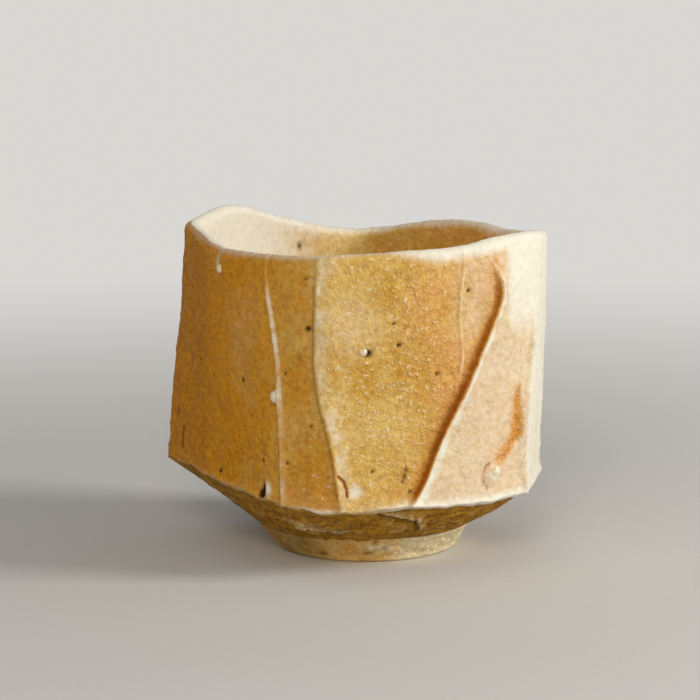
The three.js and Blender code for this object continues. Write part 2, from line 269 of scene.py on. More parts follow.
def throw(rows, columns):
    """A tube, with the row and the turn, from 0 to 1, of each of its points."""
    bm = bmesh.new()
    wire = [bm.verts.new((1, 0, row)) for row in range(rows)]
    edges = [bm.edges.new(pair) for pair in zip(wire, wire[1:])]
    bmesh.ops.spin(bm, geom=wire + edges, cent=(0, 0, 0), axis=(0, 0, 1), angle=2 * math.pi, steps=columns,
                   use_merge=True)
    bm.verts.ensure_lookup_table()
    place = np.array([v.co for v in bm.verts])
    row = np.rint(place[:, 2]).astype(int)
    turn = (np.arctan2(place[:, 1], place[:, 0]) / (2 * np.pi)) % 1
    turn = np.where(turn > 1 - 0.25 / columns, 0, turn)
    return bm, row, turn


def on_circle(azimuth, radius, height):
    angle = np.radians(azimuth)
    return np.stack([AXIS[0] + radius * np.sin(angle), AXIS[1] - radius * np.cos(angle), height], axis=-1)


def settle(bm, points):
    for vert, point in zip(bm.verts, points):
        vert.co = Vector(point) * MM


def finish_piece(name, bm, masks, material, node):
    layers = {key: bm.verts.layers.float_color.new(key) for key in masks}
    for key, layer in layers.items():
        for vert, value in zip(bm.verts, masks[key]):
            vert[layer] = value
    bmesh.ops.remove_doubles(bm, verts=bm.verts, dist=MERGE)
    bmesh.ops.dissolve_degenerate(bm, edges=bm.edges, dist=MERGE)
    bmesh.ops.recalc_face_normals(bm, faces=bm.faces)
    mesh = bpy.data.meshes.new(name)
    bm.to_mesh(mesh)
    bm.free()
    mesh.shade_smooth()
    mesh.materials.append(material)
    piece = bpy.data.objects.new(name, mesh)
    link(piece)
    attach(piece, "root")
    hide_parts(node)
    print(name, "faces:", len(mesh.polygons))


print("points in a tube of 3 rows and 8 columns:", len(throw(3, 8)[1]))

# %% [markdown]
# ## Stretches of the profile
# A bowl's section is a chain of stretches: the seat on the foot, the underside, the wall, the lip, the inside,
# the round at the bottom and the floor. Each one gives a radius, a height and the way its surface looks, so
# that glaze and small marks can be laid on along that direction.

# %% Profile of the bowl
EDGE_FLARE, EDGE_RUN, UNDERSIDE_SWELL = 0.5, 2.2, 0.6  # mm
UNDERSIDE_OUT, UNDERSIDE_UP = 0.5, -0.87  # the way that the underside looks
BELOW_WALL = ("seat", "underside")  # their columns follow the marks' lower ends


def profile(stretch, azimuth, share):
    """Radius, height, and the outward direction in the section, for arrays of one stretch."""
    one, none = np.ones_like(share), np.zeros_like(share)
    low, top = waist_height(azimuth), shoulder_height(azimuth)
    if stretch == "seat":
        return FOOT_SEAT_RADIUS * share, FOOT_HEIGHT * one, none, -one
    if stretch == "underside":
        edge = cut_radius(azimuth, low) + EDGE_FLARE
        radius = FOOT_SEAT_RADIUS + (edge - FOOT_SEAT_RADIUS) * share + UNDERSIDE_SWELL * np.sin(np.pi * share)
        return radius, FOOT_HEIGHT + (low - FOOT_HEIGHT) * share, UNDERSIDE_OUT * one, UNDERSIDE_UP * one
    if stretch == "wall":
        height = low + (top - low) * share
        return cut_radius(azimuth, height) + EDGE_FLARE * np.exp(-(height - low) / EDGE_RUN), height, one, none
    outside, inside = cut_radius(azimuth, top), inner_radius(azimuth, top)
    bottom = FLOOR_HEIGHT + INNER_ROUND
    if stretch == "lip":
        angle = np.pi * share
        radius = (outside + inside) / 2 + (outside - inside) / 2 * np.cos(angle)
        return radius, top + WALL_AT_RIM / 2 * np.sin(angle), np.cos(angle), np.sin(angle)
    if stretch == "inside":
        height = top + (bottom - top) * share
        return inner_radius(azimuth, height), height, -one, none
    centre = inner_radius(azimuth, bottom + none) - INNER_ROUND
    if stretch == "round":
        angle = np.pi / 2 * share
        radius = centre + INNER_ROUND * np.cos(angle)
        return radius, bottom - INNER_ROUND * np.sin(angle), -np.cos(angle), np.sin(angle)
    return centre * (1 - share), FLOOR_HEIGHT * one, none, one


def lay(rows, row, turn):
    """Places every point of a thrown tube: rows is a list of (stretch, share, coat)."""
    kind, share, coat = (np.array(column)[row] for column in zip(*rows))
    azimuth, radius, height, out, up = np.zeros((5, len(row)))
    for stretch in np.unique(kind):
        pick = kind == stretch
        follow = share[pick] if stretch == "wall" else np.full(pick.sum(), float(stretch not in BELOW_WALL))
        azimuth[pick] = column_azimuth(turn[pick], follow)
        radius[pick], height[pick], out[pick], up[pick] = profile(stretch, azimuth[pick], share[pick])
    return SimpleNamespace(kind=kind, share=share, coat=coat, azimuth=azimuth, radius=radius, height=height,
                           out=out, up=up)


def spread(stretch, count, start=0.0, end=1.0, coat=0.0):
    return [(stretch, start + (end - start) * i / count, coat) for i in range(count + 1)]


print("radius half way up the front:", profile("wall", 0.0, 0.5)[0].round(2))

# %% [markdown]
# ## Small tools of the trade
# Most of the hand's small marks are soft noise, a round dab or a cut along a line. A dab or a cut is given by
# azimuth and height on the wall, in degrees and millimetres, found from the photograph.

# %% Noise, dabs and cuts


def fbm(points, size, octaves):
    return np.array([noise.fractal(Vector(p), 1.0, 2.0, octaves) for p in points / size])


def wall_offset(skin, azimuth, height):
    """Millimetres along the wall and up from a place, for every point."""
    along = np.radians(turn_from(skin.azimuth, azimuth)) * skin.radius
    return along, skin.height - height


def dab(skin, azimuth, height, wide, tall=None):
    along, rise = wall_offset(skin, azimuth, height)
    return np.exp(-((along / wide) ** 2) - ((rise / (tall or wide)) ** 2))


def dabs(skin, table):
    """The strongest of several dabs; a row is a strength and what a dab takes."""
    return most(*(strength * dab(skin, *where) for strength, *where in table))


def line_distance(skin, points):
    """Distance to a line of (azimuth, height) places, and the side: positive right of a line that runs down."""
    best, side = np.full_like(skin.radius, FAR), np.zeros_like(skin.radius)
    for (a0, z0), (a1, z1) in zip(points, points[1:]):
        along, rise = wall_offset(skin, a0, z0)
        dx, dz = np.radians(a1 - a0) * skin.radius, z1 - z0
        t = np.clip((along * dx + rise * dz) / (dx * dx + dz * dz), 0, 1)
        gap = np.hypot(along - t * dx, rise - t * dz)
        closer = gap < best
        best = np.where(closer, gap, best)
        side = np.where(closer, np.sign(dx * rise - dz * along), side)
    return best, side


def cut(skin, points, drop, run, burr):
    """A step along a line: the left of its way down drops off over a run, the right keeps a burr."""
    gap, side = line_distance(skin, points)
    signed = gap * side
    low = smooth(-signed, -0.2, 0.5) * bell(np.maximum(-signed, 0), run)
    edge = smooth(signed, -0.25, 0.1) * np.exp(-np.maximum(signed, 0) / 0.7)
    return burr * edge - drop * low, low, edge


print("noise at one place:", fbm(np.array([[1.0, 2.0, 3.0]]), 2, 3).round(3))

# %% [markdown]
# Grains under the glaze and crumbs on the clay are strewn from a seeded list, so that every run gives the same
# cup. A k-d tree finds the points of the mesh near each grain, and they are pressed out as a small dome.

# %% Grains


def strew(seed, count, place, sizes, heights):
    """Seeded grains: place gives a point or nothing, then a size and a height are drawn."""
    draw, grains = random.Random(seed), []
    for _ in range(count):
        point = place(draw)
        if point is not None:
            grains.append((Vector(point), draw.uniform(*sizes), draw.uniform(*heights)))
    return grains


def domes(points, pick, grains):
    """Heights of small domes pressed out of the picked points, each round the point nearest to its grain."""
    tree = kdtree.KDTree(int(pick.sum()))
    for index in np.flatnonzero(pick):
        tree.insert(points[index], int(index))
    tree.balance()
    lift = np.zeros(len(points))
    for centre, size, tall in grains:
        for _, index, away in tree.find_range(tree.find(centre)[0], size):
            lift[index] = max(lift[index], tall * (1 - (away / size) ** 2))
    return lift


print("a grain:", strew(1, 1, lambda draw: (0, 0, 0), (0.4, 0.9), (0.1, 0.3)))

# %% [markdown]
# ## One function for colours and one for nodes
# Colours are written as sRGB hex values, as a colour picker shows them, and turned to linear light once. The
# node helper sets a node's options and its inputs: a socket becomes a link, anything else a value.

# %% Colour and node helpers


def colour(code):
    parts = [int(code[i:i + 2], 16) / 255 for i in (1, 3, 5)]
    return tuple(c / 12.92 if c <= 0.04045 else ((c + 0.055) / 1.055) ** 2.4 for c in parts) + (1.0,)


def node(tree, kind, inputs=None, **settings):
    made = tree.nodes.new(kind)
    for key, value in settings.items():
        setattr(made, key, value)
    for key, value in (inputs or {}).items():
        if isinstance(value, bpy.types.NodeSocket):
            tree.links.new(value, made.inputs[key])
        else:
            made.inputs[key].default_value = value
    return made


print("ochre in linear light:", [round(part, 3) for part in colour("#C89A3A")])

# %% [markdown]
# The materials need the same few nodes again and again. A function for each of them lets a material read like a
# recipe. Noise cells are given in millimetres on Object coordinates, so that a pattern keeps its real size.

# %% Recipes of nodes


def per_mm(size):
    """Texture scale for a cell of this many millimetres on Object coordinates in metres."""
    return 1 / (size * MM)


def fractal(tree, at, cell, detail, roughness=0.5):
    inputs = {"Vector": at, "Scale": per_mm(cell), "Detail": detail, "Roughness": roughness}
    return node(tree, "ShaderNodeTexNoise", inputs).outputs["Fac"]


def calc(tree, operation, *values):
    return node(tree, "ShaderNodeMath", dict(enumerate(values)), operation=operation).outputs[0]


def remap(tree, value, start, end, to_start=0.0, to_end=1.0, kind="LINEAR"):
    inputs = {"Value": value, "From Min": start, "From Max": end, "To Min": to_start, "To Max": to_end}
    return node(tree, "ShaderNodeMapRange", inputs, interpolation_type=kind).outputs["Result"]


def mixed(tree, factor, under, over, blend="MIX"):
    inputs = {"Factor": factor, 6: under, 7: colour(over)}  # by number, the node's colour sockets
    return node(tree, "ShaderNodeMix", inputs, data_type="RGBA", blend_type=blend).outputs[2]


def two_tone(tree, value, start, dark, end, light):
    ramp = node(tree, "ShaderNodeValToRGB", {"Fac": value})
    for element, place, code in zip(ramp.color_ramp.elements, (start, end), (dark, light)):
        element.position, element.color = place, colour(code)
    return ramp.outputs["Color"]


def painted(tree, name):
    """The red, green and blue masks of a painted attribute."""
    paint = node(tree, "ShaderNodeAttribute", attribute_name=name)
    return node(tree, "ShaderNodeSeparateColor", {"Color": paint.outputs["Color"]}).outputs


def new_material(name, roughness=0.5, specular=0.5):
    """A material with its tree, its shader and its Object coordinates."""
    material = bpy.data.materials.new(name)
    material.use_nodes = True
    tree = material.node_tree
    tree.nodes.clear()
    shader = node(tree, "ShaderNodeBsdfPrincipled", {"Roughness": roughness, "Specular IOR Level": specular})
    node(tree, "ShaderNodeOutputMaterial", {"Surface": shader.outputs["BSDF"]})
    return material, tree, shader, node(tree, "ShaderNodeTexCoord").outputs["Object"]


def dress(tree, shader, shade, bumps, deep, strength=1.0):
    """Links a colour, and a bump this many millimetres deep."""
    bump = node(tree, "ShaderNodeBump", {"Height": bumps, "Strength": strength, "Distance": deep * MM})
    tree.links.new(shade, shader.inputs["Base Color"])
    tree.links.new(bump.outputs["Normal"], shader.inputs["Normal"])


print("a texture cell of 1 mm has scale", round(per_mm(1)))

# %% [markdown]
# ## Matte ash glaze
# Wood ash and feldspar melt to a thin, dry, yellow glaze. It is pale where it runs off ridges and edges, with
# painted highlights on lit crests and faces, orange where the fire scorched it, brown where it pools and as painted
# shade on faces turned from the key, and its skin is fine bumps with white grains of feldspar and painted shade in
# the dents of the bumps. The masks painted on the mesh say where; noise in the shader breaks their edges. The
# grit comes from Voronoi cells, bent by noise, of which the density mask keeps some.

# %% Ash glaze material


def feldspar_grit(tree, at, density):
    clumps = fractal(tree, at, 0.6, 1.5)
    bent = node(tree, "ShaderNodeVectorMath", {0: clumps.node.outputs["Color"], 1: (0.5 * MM,) * 3, 2: at},
                operation="MULTIPLY_ADD").outputs["Vector"]
    cells = node(tree, "ShaderNodeTexVoronoi", {"Vector": bent, "Scale": per_mm(0.6), "Randomness": 1.0})
    cell = node(tree, "ShaderNodeSeparateColor", {"Color": cells.outputs["Color"]})
    keep = calc(tree, "LESS_THAN", cell.outputs["Red"], density)
    dome = remap(tree, cells.outputs["Distance"], 0.55, 0.0, kind="SMOOTHSTEP")
    grains = calc(tree, "MULTIPLY", calc(tree, "MULTIPLY", dome, cell.outputs["Green"]), keep)
    lumps = calc(tree, "MULTIPLY", remap(tree, clumps, 0.46, 0.74, kind="SMOOTHSTEP"), density)
    return calc(tree, "MULTIPLY_ADD", grains, 0.7, lumps)


def layered(tree, shade, breaker, coats):
    """Lays coats over a colour: each has a mask, how far the noise breaks its edge, and a colour."""
    for mask, amount, code in coats:
        edge = calc(tree, "MULTIPLY_ADD", breaker, amount, mask)
        factor = remap(tree, edge, 0.1 + amount / 2, 0.9 + amount / 2, kind="SMOOTHSTEP")
        shade = mixed(tree, factor, shade, code)
    return shade


def ash_glaze():
    material, tree, shader, at = new_material("matte_wood_ash_glaze", specular=0.12)
    paint, tint = painted(tree, "glaze_paint"), painted(tree, "glaze_tint")
    drawn = node(tree, "ShaderNodeVectorMath", {0: at, 1: (1.0, 0.5, 1.0)}, operation="MULTIPLY").outputs["Vector"]
    mottle, pores = fractal(tree, drawn, 1.2, 4.0, 0.65), fractal(tree, drawn, 0.9, 5.0, 0.7)
    grit = feldspar_grit(tree, at, tint["Blue"])
    ochre = two_tone(tree, fractal(tree, at, 8, 5.0, 0.6), 0.32, "#C89A3A", 0.68, "#E0C276")
    shade = layered(tree, ochre, mottle, [
        (tint["Red"], 0.7, "#D8940A"),  # brown where the glaze lies thick, and painted shade on the left faces and inside at the right
        (paint["Green"], 0.8, "#E0A55F"),  # orange where the flame scorched it
        (paint["Red"], 0.5, "#EAE6D6"),  # pale where it ran thin, and painted highlights on lit crests, rim and faces
        (paint["Blue"], 0.4, "#A05C0C"),  # dark where it pooled in a groove, with painted shadow beside the steps and painted shade on the left and back
        (remap(tree, grit, 0.3, 0.95, to_end=0.8), 0.0, "#F4E0BA"),  # white tips of feldspar
        (tint["Green"], 0.4, "#3A2006"),  # burnt iron spots and pits, and painted shadow in the torn cavity
    ])
    calm = remap(tree, paint["Red"], 0.0, 1.0, 1.0, 0.2)
    # painted shade: darker in the low spots of the pore noise, the dents of the bumps
    pore_shade = calc(tree, "MULTIPLY", remap(tree, pores, 0.35, 0.6, 0.5, 0.0), calm)
    shade = mixed(tree, pore_shade, shade, "#B58B3A", "MULTIPLY")
    bumps = calc(tree, "MULTIPLY_ADD", fractal(tree, drawn, 0.8, 3.0), 0.5, grit)
    bumps = calc(tree, "MULTIPLY", calc(tree, "MULTIPLY_ADD", pores, 1.2, bumps), calm)
    bumps = calc(tree, "MULTIPLY", bumps, remap(tree, tint["Red"], 0.0, 1.0, 1.0, 2.2))
    dress(tree, shader, shade, bumps, 0.16)
    tree.links.new(remap(tree, mottle, 0.0, 1.0, 0.36, 0.64), shader.inputs["Roughness"])
    return material


GLAZE_MATERIAL = ash_glaze()
print("made", GLAZE_MATERIAL.name)

# %% [markdown]
# ## Bare stoneware
# Below the waist the clay is left bare: coarse, scraped with a tool while leather hard, olive brown where
# flame and ash touched it and paler on the torn edges and the foot. It scatters light with almost no gloss.

# %% Bare clay material


def stoneware(name, dark, light, pale, crevice_shade):
    material, tree, shader, at = new_material(name, roughness=0.88, specular=0.2)
    paint = painted(tree, "clay_paint")
    sand, holes = fractal(tree, at, 0.5, 3.0), fractal(tree, at, 0.8, 5.0, 0.75)
    body = two_tone(tree, fractal(tree, at, 3, 6.0, 0.65), 0.32, dark, 0.68, light)
    torn = calc(tree, "MULTIPLY_ADD", sand, 0.9, paint["Red"])
    shade = mixed(tree, remap(tree, torn, 0.6, 1.2), body, pale)
    # painted shade: darker in the low spots of the holes noise, the clay's dents
    shade = mixed(tree, remap(tree, holes, 0.36, 0.55, crevice_shade, 0.0), shade, "#8A6A36", "MULTIPLY")
    # The blue mask: painted shadow under the tongues, darker scrape streaks, chips, and painted shade on the foot's
    # left.
    shade = mixed(tree, paint["Blue"], shade, "#33210C")
    dress(tree, shader, shade, calc(tree, "MULTIPLY_ADD", sand, 0.6, holes), 0.5)
    return material


CLAY_MATERIAL = stoneware("scraped_bare_stoneware", "#A66E0C", "#DBA633", "#EACF95", 0.6)  # the scraped bowl
FOOT_MATERIAL = stoneware("pale_foot_stoneware", "#E8B04A", "#F6D38A", "#F9E8BC", 0.3)  # the foot: pale clay, brightened further as painted light under the bowl's shade
print("made", CLAY_MATERIAL.name, FOOT_MATERIAL.name)

# %% [markdown]
# ## The glazed skin
# The glaze is one closed skin. It starts at the floor inside, hidden under its own face, runs up, over the lip
# and down to the waist, tucks under the waist's edge and comes back over the visible face to the floor.

# %% Glaze: throw and lay
BACK = -0.6  # mm, the hidden face lies this far inside the clay
hidden = (spread("floor", 1, 1, 0, BACK) + spread("round", 2, 1, 0.2, BACK) + spread("inside", 3, 0.9, 0, BACK)
          + spread("lip", 2, 0.9, 0.1, BACK) + spread("wall", 4, 1, 0.02, BACK))
tuck = spread("underside", 3, 0.94, 0.995, 0.1)
face = (spread("wall", 132, 0, 1, GLAZE) + spread("lip", 10, 0.07, 0.93, GLAZE) + spread("inside", 22, 0, 1, GLAZE)
        + spread("round", 6, 0.15, 1, GLAZE) + spread("floor", 5, 0.18, 1, GLAZE))
glaze_rows = hidden + tuck + face
bm, row, turn = throw(len(glaze_rows), COLUMNS)
skin = lay(glaze_rows, row, turn)
shown = row >= len(hidden)
outer = shown & ((skin.kind == "wall") | ((skin.kind == "lip") & (skin.share < 0.5)))
tucked = shown & (skin.kind == "underside")
inner = shown & ~outer & ~tucked


def on_outer(mask):
    return np.where(outer, mask, 0)


print("glaze rows:", len(glaze_rows), "points:", len(row))

# %% [markdown]
# ## The hand's marks on the glaze
# The marks are laid on as heights along the surface's own direction. The knife's burrs and ledges come first,
# with the fine upright stripes that the blade drew on the strip past the right-hand corner, and the shallow
# hollow between the two marks on the left. Each step also paints a mask, so that colour and shape agree.

# %% Glaze: knife marks
place, azimuth = on_circle(skin.azimuth, skin.radius, skin.height), turn_from(skin.azimuth, 0)
waist, shoulder = waist_height(skin.azimuth), shoulder_height(skin.azimuth)
share_up = np.clip((skin.height - waist) / (shoulder - waist), 0, 1)
slow, soft, fine = fbm(place, 9, 2), fbm(place, 2.6, 3), fbm(place, 0.9, 2)
relief, crests, grooves = mark_relief(skin.azimuth, share_up, skin.radius)
over_lip = np.where(skin.kind == "lip", np.clip(skin.out, 0, 1), 1)
relief = on_outer(relief * (1 + 0.3 * slow) * over_lip)
crests, grooves = on_outer(crests * over_lip), on_outer(grooves * over_lip)
STRIPE_RADIUS, STRIPE_WIDTH, STRIPE_LENGTH = 28, 0.45, 14  # mm
upright = np.radians(skin.azimuth) * STRIPE_RADIUS / STRIPE_WIDTH
stripes = fbm(np.stack([upright, skin.height / STRIPE_LENGTH, slow], -1), 1, 2)
relief += on_outer(0.12 * stripes * window(azimuth, 68, 74, 108, 116))
left_line, right_line = (curve(MARKS[name].line, share_up) for name in ("ridge", "step"))
across = np.clip((azimuth - left_line) / (right_line - left_line), 0, 1)
relief -= on_outer(0.3 * np.sin(np.pi * across) * (1 - smooth(share_up, 0.6, 0.95)))
print("highest and lowest knife mark in mm:", relief.max().round(2), relief.min().round(2))

# %% [markdown]
# The photograph also shows a crescent pocket low on the right, a torn cavity with a white fleck beside it, a
# crack like a fingernail, a slit, small pits, and a bead of glaze with a dark arc round it, partly a tear and
# partly the bead's painted shadow. Lines of places make the cuts, and a table of dabs the pits.

# %% Glaze: cuts, cracks and pits
CRESCENT = [(64.6, 27.4), (64.0, 21.4), (60.2, 18.9), (54.8, 16.8)]
CRACK = [(-7.6, 17.6), (-6.1, 16.7), (-5.3, 15.5), (-5.0, 14.2)]
SLIT = [(-95.6, 19.8), (-95.2, 16.2)]
TEAR_AND_SHADOW = [(48.2, 17.5), (46.4, 16.9), (45.4, 15.6), (45.9, 14.3), (47.0, 13.3)]
PITS = [(1.4, 37.3, 0.8), (12.6, 38.4, 0.5), (-17.9, 41.4, 0.55), (-51.2, 31.0, 0.45), (-85, 32.3, 0.3),
        (-67.4, 48.1, 0.35), (-73.7, 30.5, 0.35), (-18.5, 49.5, 0.3), (-26.4, 33.7, 0.3), (10.6, 42.1, 0.18),
        (14.8, 41.2, 0.18), (40.1, 46.6, 0.35), (27.6, 33.2, 0.35), (33.2, 33.1, 0.18), (-16.6, 25.5, 0.3),
        (-24.5, 19.1, 0.3), (-36.5, 18.6, 0.3), (-66.9, 14.6, 0.5), (2.8, 17.9, 0.3), (104, 30, 0.4),
        (131, 41, 0.45), (150, 24, 0.4), (188, 36, 0.5), (205, 19, 0.4), (228, 44, 0.4), (243, 27, 0.35)]
above_waist = smooth(skin.height, 16.2, 18.4)
step, hollow, lip_edge = cut(skin, CRESCENT, drop=0.55, run=2.2, burr=0.25)
step, hollow, lip_edge = (on_outer(mask * above_waist) for mask in (step, hollow, lip_edge))
cavity = on_outer(dabs(skin, [(1, -36.2, 13.2, 1.1, 0.8), (1, -35.3, 14.0, 0.7, 1.1)]))
fleck = on_outer(dab(skin, -32.6, 14.2, 0.9, 1.3))
gap, side = line_distance(skin, CRACK)
split = on_outer(bell(gap, 0.22))
pits = on_outer(dabs(skin, [(1, *pit) for pit in PITS]))
nub, drip = on_outer(dab(skin, -29.2, 30.1, 1.6)), on_outer(dab(skin, 49.6, 15.4, 1.2, 1.7))
# The arc round the bead is partly a tear in the glaze and partly the bead's painted shadow.
tear_and_shadow = on_outer(bell(line_distance(skin, TEAR_AND_SHADOW)[0], 0.4))
relief += step + 0.5 * fleck - 0.9 * cavity
relief += np.where(outer & (side < 0), 0.3 * np.exp(-gap / 0.8), 0) - 0.45 * split
relief += 0.35 * nub + 0.5 * drip - 0.3 * tear_and_shadow - 0.55 * pits
split = most(split, on_outer(bell(line_distance(skin, SLIT)[0], 0.35)))
print("highest and lowest mark in mm:", relief.max().round(2), relief.min().round(2))

# %% [markdown]
# Slow waves of the hand and grains of feldspar under the glaze make it bumpy, most of all on the front. Grains
# that catch the light are domes of the mesh; the finest grit stays with the bump map. The waist's edge wanders a
# little, and is blunt at the far left.

# %% Glaze: grains and waves
FRONT, LOWEST_GRAIN, HIGHEST_GRAIN = (-16, 66), 12.5, 53  # degrees, mm


def on_wall(draw):
    azimuth = draw.uniform(-180, 180)
    if not FRONT[0] < azimuth < FRONT[1] and draw.random() < 0.55:
        return None
    z = draw.uniform(LOWEST_GRAIN, HIGHEST_GRAIN)
    return on_circle(azimuth, cut_radius(azimuth, z) + GLAZE, z)


leather = window(-azimuth, 10, 40, 140, 178)
hand = 0.22 * slow + (0.09 + 0.04 * leather) * soft + 0.06 * fine
lift = skin.coat + np.where(shown, relief + hand, 0)
lobes = fbm(place, 5, 2)
near_edge = np.where(tucked | (shown & (skin.kind == "wall")), np.exp(-share_up * 28), 0)
blunt = bell(turn_from(skin.azimuth, -103), 14)
radius = skin.radius + lift * skin.out + (0.1 + 0.25 * lobes - 0.7 * blunt) * near_edge
height = skin.height + lift * skin.up + (0.6 * lobes + 0.25 * soft) * near_edge
grains = strew(11, 2600, on_wall, sizes=(0.45, 0.85), heights=(0.05, 0.16))
grain_lift = domes(on_circle(skin.azimuth, radius, height), outer, grains)
radius += grain_lift * skin.out
height += grain_lift * skin.up
settle(bm, on_circle(skin.azimuth, radius, height))
print("grains:", len(grains), "on", int((grain_lift > 0).sum()), "points")

# %% [markdown]
# Colour follows shape. The rim, the crests and the waist's edge are pale because the glaze runs off them, and
# the right-hand corner is creamy, where it lies thin and the ash fell. Some pale is painted light: a highlight on
# the lit side of the rim and the crests, a band right of the step, a sheen on the left faces and the inside wall
# that faces the key. Each pale place is a mask from 0 to 1, and the strongest one wins.

# %% Glaze: where it is pale
# Pale dabs; the faint broad one at -50 degrees on the left faces is a painted sheen.
PALE_AND_SHEEN_DABS = [(0.75, -2.6, 14.8, 1.6, 1.4), (0.75, -14, 11.8, 5.0, 0.8), (0.34, -4, 42, 7, 9),
             (0.24, -50, 40, 9, 12), (0.55, -68, 49.8, 1.2, 2.4)]
other_way = -azimuth % 360
below_rim = np.maximum(shoulder + WALL_AT_RIM / 2 - skin.height, 0)
# The outer rim is pale where glaze runs off it, and paler towards the right as a painted highlight.
lit_rim = window(azimuth, 5, 30, 115, 140)
rim = (0.5 + 0.45 * lit_rim) * bell(below_rim, 0.55 + 1.5 * lit_rim + 0.4 * slow)
rim = most(rim, 0.14 * bell(below_rim, 3))
# painted light: inside, the wall that faces the key is painted pale, and the inner rim band is widest there.
facing_key = window(other_way, 30, 80, 115, 195) * smooth(skin.height, 14, 36)
inner_rim = (0.65 + 0.3 * facing_key) * bell(below_rim, 0.7 + 2.6 * facing_key + 0.4 * slow)
rim = np.where(inner, most(inner_rim, 0.95 * facing_key), rim)
past_ledge = smooth(azimuth - curve(MARKS["ledge"].line, share_up), 0, 3)
right_end = 1 - smooth(azimuth + 14 * slow, 96, 122)
frost = window(azimuth, -10, 30, 100, 130)
thinned = 1 - 0.4 * smooth(-azimuth, 16, 22) * (1 - smooth(share_up, 0.1, 0.7))
past_step = np.radians(azimuth - right_line) * skin.radius
# painted highlight: a pale band right of the step, where the front turns towards the light
painted_light_past_step = smooth(past_step, -0.3, 0.6) * np.exp(-np.maximum(past_step, 0) / 3.2) * (1 + 0.7 * soft)
pale = most(
    crests * thinned * (0.85 + 0.5 * soft), 0.5 * painted_light_past_step, 0.6 * lip_edge, fleck, 0.9 * drip, dabs(skin, PALE_AND_SHEEN_DABS),
    0.95 * smooth(azimuth, 50, 60) * right_end * smooth(share_up, 0.42, 0.82),  # the upper corner
    smooth(azimuth, 66, 71) * right_end * (0.85 - 0.3 * stripes),  # the striped strip past the corner
    0.52 * past_ledge * right_end,  # the face right of the ledge
    0.4 * smooth(azimuth, 20, 44) * (1 - past_ledge) * smooth(share_up, 0.3, 0.75),  # the front below the rim
    (0.3 + 0.65 * frost) * np.exp(-share_up * (32 - 18 * frost)),  # the waist's edge
)
pale = np.where(outer | tucked, pale * (1 - 0.9 * hollow) * (1 - grooves), 0)
pale = most(pale, np.where(shown, rim, 0))
print("share of pale points:", (pale > 0.5).mean().round(2))

# %% [markdown]
# The fire scorched the front orange towards the big ledge. The glaze is brown where it lies thick: on the left
# faces, at the back and in the hollows. On the left faces the brown is also painted shade, and inside at the right
# it is painted shade alone. It is darkest in grooves, cracks and tears, with painted shadow in the grooves and
# round the bead, and painted shade over the left and back.

# %% Glaze: where it is scorched, brown and dark
scorch = window(azimuth, -6, 28, 66, 72) * (0.5 + 0.3 * slow)
scorch = most(scorch, 0.45 * window(azimuth, -34, -26, -8, 0) * np.exp(-share_up * 4))
scorch = np.where(outer, most(scorch, 0.4 * hollow), 0.25 + 0.5 * slow)
blotch = dabs(skin, [(0.5, -20.8, 37.0, 0.8, 1.4), (0.8, -99.3, 22.4, 0.9, 1.6)])
# painted shade: the left and back faces, turned from the key, are painted darker
shaded = 0.38 * window(-azimuth, 64, 84, 140, 176)
dark = most(grooves, 0.12 * hollow, cavity, split, 0.6 * tear_and_shadow, on_outer(most(blotch, shaded)))
before_step = smooth(right_line - azimuth, -1, 4)
# Brown on the left faces: partly the glaze's own colour and partly painted shade.
brown = 0.62 * before_step + 0.14 * smooth(-azimuth, 24, 40) + 0.4 * smooth(-azimuth, 38, 80)
brown = np.clip(brown + 1.2 * smooth(azimuth, 105, 178), 0, 1) * (0.85 + 0.25 * slow)
brown = most(brown, hollow, 0.8 * grooves, tear_and_shadow)
# painted shade: browner inside at the right, on the wall turned from the key
painted_shade_inside_right = np.where(inner, 0.55 * window(other_way, 170, 215, 300, 350), 0)
brown = np.where(outer, brown, painted_shade_inside_right)
print("shares of brown and dark points:", (brown > 0.5).mean().round(2), (dark > 0.5).mean().round(3))

# %% [markdown]
# Grit is dense on the front and thin on the pale and grooved places. Pits and iron specks burn nearly black, the
# torn cavity is painted near black as its shadow, and single white grains show through the glaze near the two
# marks on the left. The masks then go to the mesh as colours of its points, where the shader reads them.

# %% Glaze: grit, specks and the finished skin
SPECKS = [(14.9, 17.7, 0.5, 0.7), (14.4, 16.7, 0.5, 0.6), (13.7, 15.9, 0.4, 0.4), (16.5, 14.2, 0.45, 0.4)]
WHITE_GRAINS = [(-13, 10, 14, 48, 0.27, 60), (-42, -13, 13, 24, 0.18, 45)]  # azimuths, heights, size, count
gritty = smooth(past_step, -1, 2) * (1 - smooth(azimuth, 70, 80))
gritty = most(gritty, 0.8 * np.exp(-share_up * 4) * smooth(azimuth, -80, -45))
gritty = np.where(outer, 0.28 - 0.18 * before_step + 0.55 * gritty, 0.25)
gritty = gritty * (1 - 0.7 * np.clip(pale, 0, 1)) * (1 - grooves)
inner_speck = np.where(skin.kind == "inside", dab(skin, -153.2, 48.5, 0.7), 0)
specks = on_outer(dabs(skin, [(0.75, *speck) for speck in SPECKS]))
# painted shadow: the torn cavity is painted near black
spots = most(pits, smooth(cavity, 0.1, 0.85), 0.3 * split, specks, 0.8 * inner_speck)
seeded = random.Random(7)
for left, right, low, high, size, count in WHITE_GRAINS:
    for _ in range(count):
        where, z = seeded.uniform(left, right), seeded.uniform(low, high)
        grain = on_outer(dab(skin, where, z, seeded.uniform(0.6, 1.3) * size))
        pale = most(pale, 0.65 * grain * (1 - spots))


def paint(red, green, blue):
    return np.stack([np.clip(red, 0, 1), np.clip(green, 0, 1), np.clip(blue, 0, 1), np.ones(len(red))], axis=-1)


masks = {"glaze_paint": paint(pale, scorch, dark), "glaze_tint": paint(brown, spots, gritty)}
finish_piece("glazed_skin", bm, masks, GLAZE_MATERIAL, "glaze_coat")

